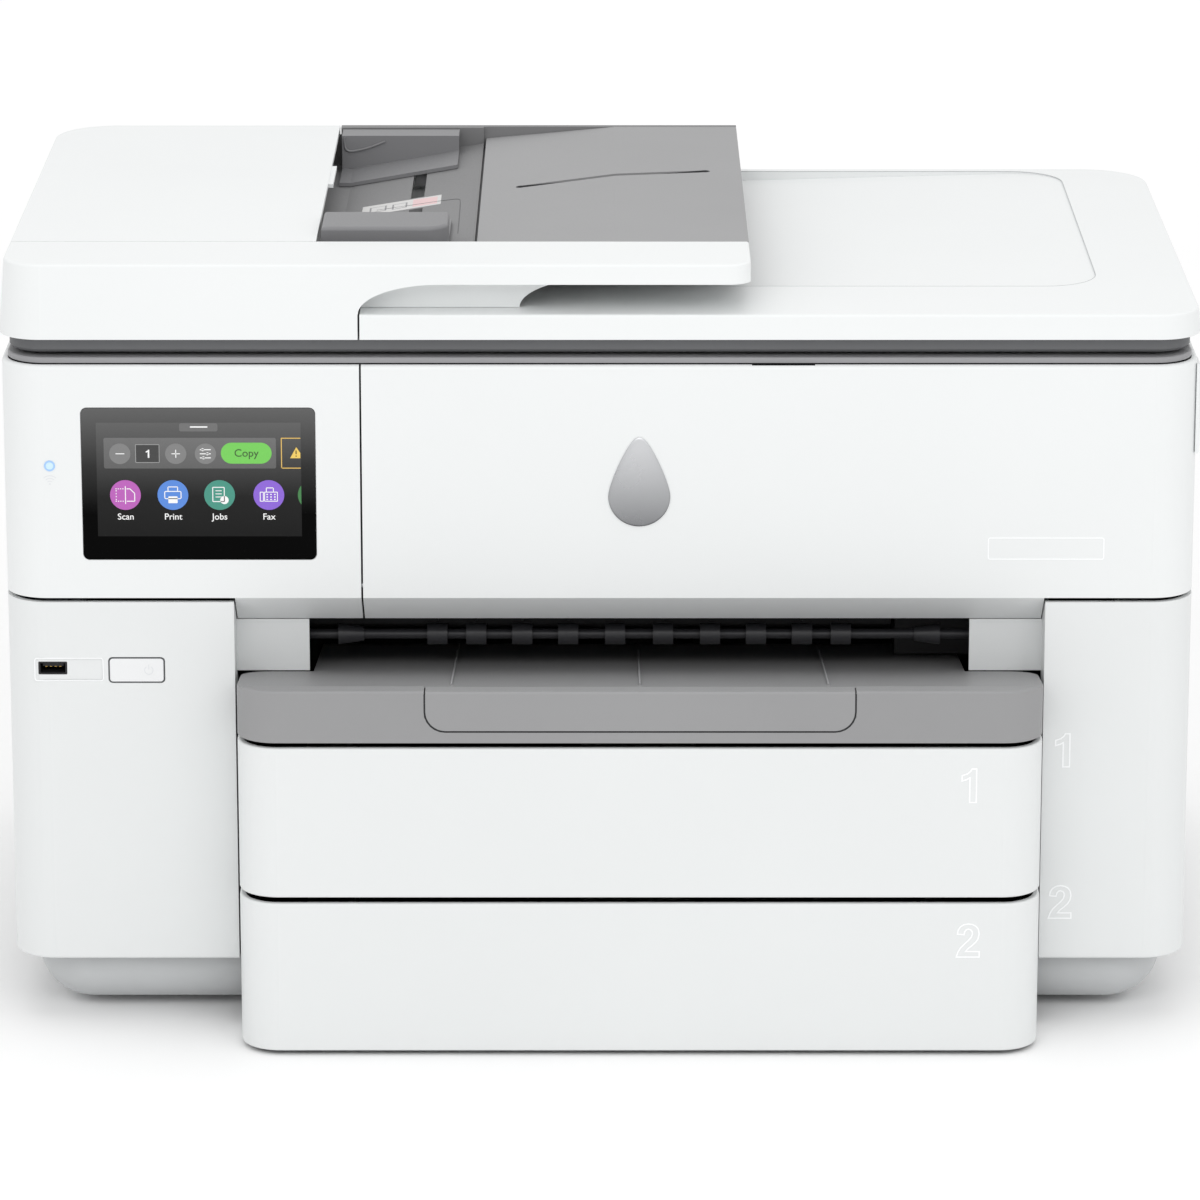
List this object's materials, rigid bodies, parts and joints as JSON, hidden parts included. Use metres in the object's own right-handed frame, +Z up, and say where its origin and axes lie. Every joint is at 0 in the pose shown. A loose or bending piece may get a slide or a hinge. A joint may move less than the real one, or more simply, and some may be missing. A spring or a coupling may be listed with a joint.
{
  "type": "inkjet printer",
  "caption": "White wide-format inkjet all-in-one with a document feeder, flatbed lid, touchscreen, front ink door, grey output tray and paper trays.",
  "frame": {"origin": "bottom centre of the machine's box, on the surface its feet stand on", "axes": "+Z up, the front with the trays and the touchscreen faces -Y, +X is to the right seen from the front"},
  "size_m": [0.6, 0.41, 0.4],
  "materials": {
    "white_shell": "satin",
    "pan_grey": "satin",
    "feet_rubber": "matte",
    "screen_glass": "gloss",
    "light_pipe": "gloss",
    "emblem_silver": "satin",
    "steel": "brushed",
    "zinc_plate": "satin",
    "motor_steel": "satin",
    "button_white": "satin",
    "board_green": "satin",
    "port_black": "matte",
    "tray_grey": "matte",
    "extension_grey": "matte",
    "belt_rubber": "matte",
    "pulley_plastic": "satin",
    "engine_black": "matte",
    "cartridge_black": "satin",
    "roller_dark": "satin",
    "roller_rubber": "matte",
    "guide_black": "matte",
    "tub_black": "matte",
    "bezel_grey": "satin",
    "scan_glass": "gloss",
    "scan_black": "matte",
    "lid_dark": "matte",
    "pad_white": "matte",
    "feeder_floor": "matte",
    "feeder_plate": "matte",
    "paper_box": "matte",
    "guide_grey": "satin"
  },
  "bodies": {
    "body": {"base_pan": "pan_grey", "rubber_feet": "feet_rubber", "left_side_cover": "white_shell", "right_side_cover": "white_shell", "rear_cover": "white_shell", "control_panel_bezel": "white_shell", "touchscreen_glass": "screen_glass", "status_light": "light_pipe", "hinge_hardware": "steel", "usb_board": "board_green", "rear_ports": "port_black", "output_tray": "tray_grey", "chassis_frame": "zinc_plate", "guide_rods": "steel", "drive_motors": "motor_steel", "carriage_belt": "belt_rubber", "platen": "engine_black", "star_wheel_bar": "engine_black", "service_station": "engine_black", "paper_guides": "guide_black", "electronics": "board_green", "scanner_tub": "tub_black", "scanner_bezel": "bezel_grey", "scanner_glass": "scan_glass"},
    "front_door_group": {"front_door": "white_shell", "door_emblem": "emblem_silver"},
    "lid_group": {"lid_base": "lid_dark", "lid_backing": "pad_white", "lid_cover": "white_shell", "adf_body": "white_shell", "adf_floor": "feeder_floor"},
    "adf_door_group": {"adf_door": "white_shell"},
    "adf_input_tray_group": {"adf_input_tray": "feeder_plate"},
    "adf_guide_front_group": {"adf_guide_front": "guide_grey"},
    "adf_guide_rear_group": {"adf_guide_rear": "guide_grey"},
    "adf_pick_roller_group": {"adf_pick_roller": "roller_rubber"},
    "adf_feed_roller_group": {"adf_feed_roller": "roller_rubber"},
    "power_button_group": {"power_button": "button_white"},
    "output_extension_group": {"output_extension": "extension_grey"},
    "carriage_group": {"carriage": "engine_black", "ink_cartridges": "cartridge_black"},
    "drive_pulley_group": {"drive_pulley": "pulley_plastic"},
    "idler_pulley_group": {"idler_pulley": "pulley_plastic"},
    "exit_roller_group": {"exit_roller": "roller_dark"},
    "feed_roller_group": {"feed_roller": "roller_rubber"},
    "scan_bar_group": {"scan_bar": "scan_black"},
    "tray_1_group": {"tray_1_cover": "white_shell", "tray_1_box": "paper_box"},
    "tray_1_guide_left_group": {"tray_1_guide_left": "guide_grey"},
    "tray_1_guide_right_group": {"tray_1_guide_right": "guide_grey"},
    "tray_1_length_guide_group": {"tray_1_length_guide": "guide_grey"},
    "pick_arm_1_group": {"pick_arm_1": "engine_black"},
    "pick_roller_1_group": {"pick_roller_1": "roller_rubber"},
    "tray_2_group": {"tray_2_cover": "white_shell", "tray_2_box": "paper_box"},
    "tray_2_guide_left_group": {"tray_2_guide_left": "guide_grey"},
    "tray_2_guide_right_group": {"tray_2_guide_right": "guide_grey"},
    "tray_2_length_guide_group": {"tray_2_length_guide": "guide_grey"},
    "pick_arm_2_group": {"pick_arm_2": "engine_black"},
    "pick_roller_2_group": {"pick_roller_2": "roller_rubber"}
  },
  "joints": [
    {"name": "front_door_hinge", "type": "hinge", "parent": "body", "child": "front_door_group", "pos_m": [0, -0.1495, 0.2305], "axis": [1, 0, 0], "range_deg": [0, 85]},
    {"name": "lid_hinge", "type": "hinge", "parent": "body", "child": "lid_group", "pos_m": [0, 0.2, 0.355], "axis": [-1, 0, 0], "range_deg": [0, 75]},
    {"name": "adf_door_hinge", "type": "hinge", "parent": "lid_group", "child": "adf_door_group", "pos_m": [-0.2965, 0, 0.3745], "axis": [0, -1, 0], "range_deg": [0, 80]},
    {"name": "adf_input_tray_hinge", "type": "hinge", "parent": "lid_group", "child": "adf_input_tray_group", "pos_m": [-0.0606, 0, 0.3878], "axis": [0, -1, 0], "range_deg": [0, 45]},
    {"name": "adf_guide_front_slide", "type": "slide", "parent": "lid_group", "child": "adf_guide_front_group", "axis": [0, 1, 0], "range_m": [0, 0.06]},
    {"name": "adf_guide_rear_slide", "type": "slide", "parent": "lid_group", "child": "adf_guide_rear_group", "axis": [0, -1, 0], "range_m": [0, 0.06]},
    {"name": "adf_pick_roller_spin", "type": "hinge", "parent": "lid_group", "child": "adf_pick_roller_group", "pos_m": [-0.185, 0, 0.3845], "axis": [0, 1, 0], "continuous": true},
    {"name": "adf_feed_roller_spin", "type": "hinge", "parent": "lid_group", "child": "adf_feed_roller_group", "pos_m": [-0.254, 0, 0.3765], "axis": [0, 1, 0], "continuous": true},
    {"name": "power_button_press", "type": "slide", "parent": "body", "child": "power_button_group", "axis": [0, 1, 0], "range_m": [0, 0.0015], "stiffness_N_per_m": 400},
    {"name": "output_extension_slide", "type": "slide", "parent": "body", "child": "output_extension_group", "axis": [0, -0.9877, 0.1564], "range_m": [0, 0.1]},
    {"name": "carriage_slide", "type": "slide", "parent": "body", "child": "carriage_group", "axis": [-1, 0, 0], "range_m": [0, 0.38]},
    {"name": "drive_pulley_spin", "type": "hinge", "parent": "body", "child": "drive_pulley_group", "pos_m": [0.235, 0.052, 0.275], "axis": [0, 0, 1], "continuous": true},
    {"name": "idler_pulley_spin", "type": "hinge", "parent": "body", "child": "idler_pulley_group", "pos_m": [-0.235, 0.052, 0.275], "axis": [0, 0, 1], "continuous": true},
    {"name": "exit_roller_spin", "type": "hinge", "parent": "body", "child": "exit_roller_group", "pos_m": [0, -0.115, 0.195], "axis": [1, 0, 0], "continuous": true},
    {"name": "feed_roller_spin", "type": "hinge", "parent": "body", "child": "feed_roller_group", "pos_m": [0, 0.005, 0.195], "axis": [1, 0, 0], "continuous": true},
    {"name": "scan_bar_slide", "type": "slide", "parent": "body", "child": "scan_bar_group", "axis": [1, 0, 0], "range_m": [0, 0.43]},
    {"name": "tray_1_slide", "type": "slide", "parent": "body", "child": "tray_1_group", "axis": [0, -1, 0], "range_m": [0, 0.25]},
    {"name": "tray_1_guide_left_slide", "type": "slide", "parent": "tray_1_group", "child": "tray_1_guide_left_group", "axis": [1, 0, 0], "range_m": [0, 0.095]},
    {"name": "tray_1_guide_right_slide", "type": "slide", "parent": "tray_1_group", "child": "tray_1_guide_right_group", "axis": [-1, 0, 0], "range_m": [0, 0.095]},
    {"name": "tray_1_length_guide_slide", "type": "slide", "parent": "tray_1_group", "child": "tray_1_length_guide_group", "axis": [0, 1, 0], "range_m": [-0.09, 0.045]},
    {"name": "pick_arm_1_swing", "type": "hinge", "parent": "body", "child": "pick_arm_1_group", "pos_m": [0, 0.055, 0.1503], "axis": [1, 0, 0], "range_deg": [0, 10]},
    {"name": "pick_roller_1_spin", "type": "hinge", "parent": "pick_arm_1_group", "child": "pick_roller_1_group", "pos_m": [0.02, 0.112, 0.1263], "axis": [1, 0, 0], "continuous": true},
    {"name": "tray_2_slide", "type": "slide", "parent": "body", "child": "tray_2_group", "axis": [0, -1, 0], "range_m": [0, 0.25]},
    {"name": "tray_2_guide_left_slide", "type": "slide", "parent": "tray_2_group", "child": "tray_2_guide_left_group", "axis": [1, 0, 0], "range_m": [0, 0.095]},
    {"name": "tray_2_guide_right_slide", "type": "slide", "parent": "tray_2_group", "child": "tray_2_guide_right_group", "axis": [-1, 0, 0], "range_m": [0, 0.095]},
    {"name": "tray_2_length_guide_slide", "type": "slide", "parent": "tray_2_group", "child": "tray_2_length_guide_group", "axis": [0, 1, 0], "range_m": [-0.09, 0.045]},
    {"name": "pick_arm_2_swing", "type": "hinge", "parent": "body", "child": "pick_arm_2_group", "pos_m": [0, 0.055, 0.0691], "axis": [1, 0, 0], "range_deg": [0, 10]},
    {"name": "pick_roller_2_spin", "type": "hinge", "parent": "pick_arm_2_group", "child": "pick_roller_2_group", "pos_m": [0.02, 0.112, 0.0451], "axis": [1, 0, 0], "continuous": true}
  ],
  "couplings": [
    {"joint": "adf_guide_rear_slide", "follows": "adf_guide_front_slide", "ratio": 1},
    {"joint": "adf_pick_roller_spin", "follows": "adf_feed_roller_spin", "ratio": 1.375},
    {"joint": "drive_pulley_spin", "follows": "carriage_slide", "rad_per_m": -142.86},
    {"joint": "idler_pulley_spin", "follows": "carriage_slide", "rad_per_m": -142.86},
    {"joint": "exit_roller_spin", "follows": "feed_roller_spin", "ratio": 1.5556},
    {"joint": "tray_1_guide_right_slide", "follows": "tray_1_guide_left_slide", "ratio": 1},
    {"joint": "tray_2_guide_right_slide", "follows": "tray_2_guide_left_slide", "ratio": 1}
  ]
}
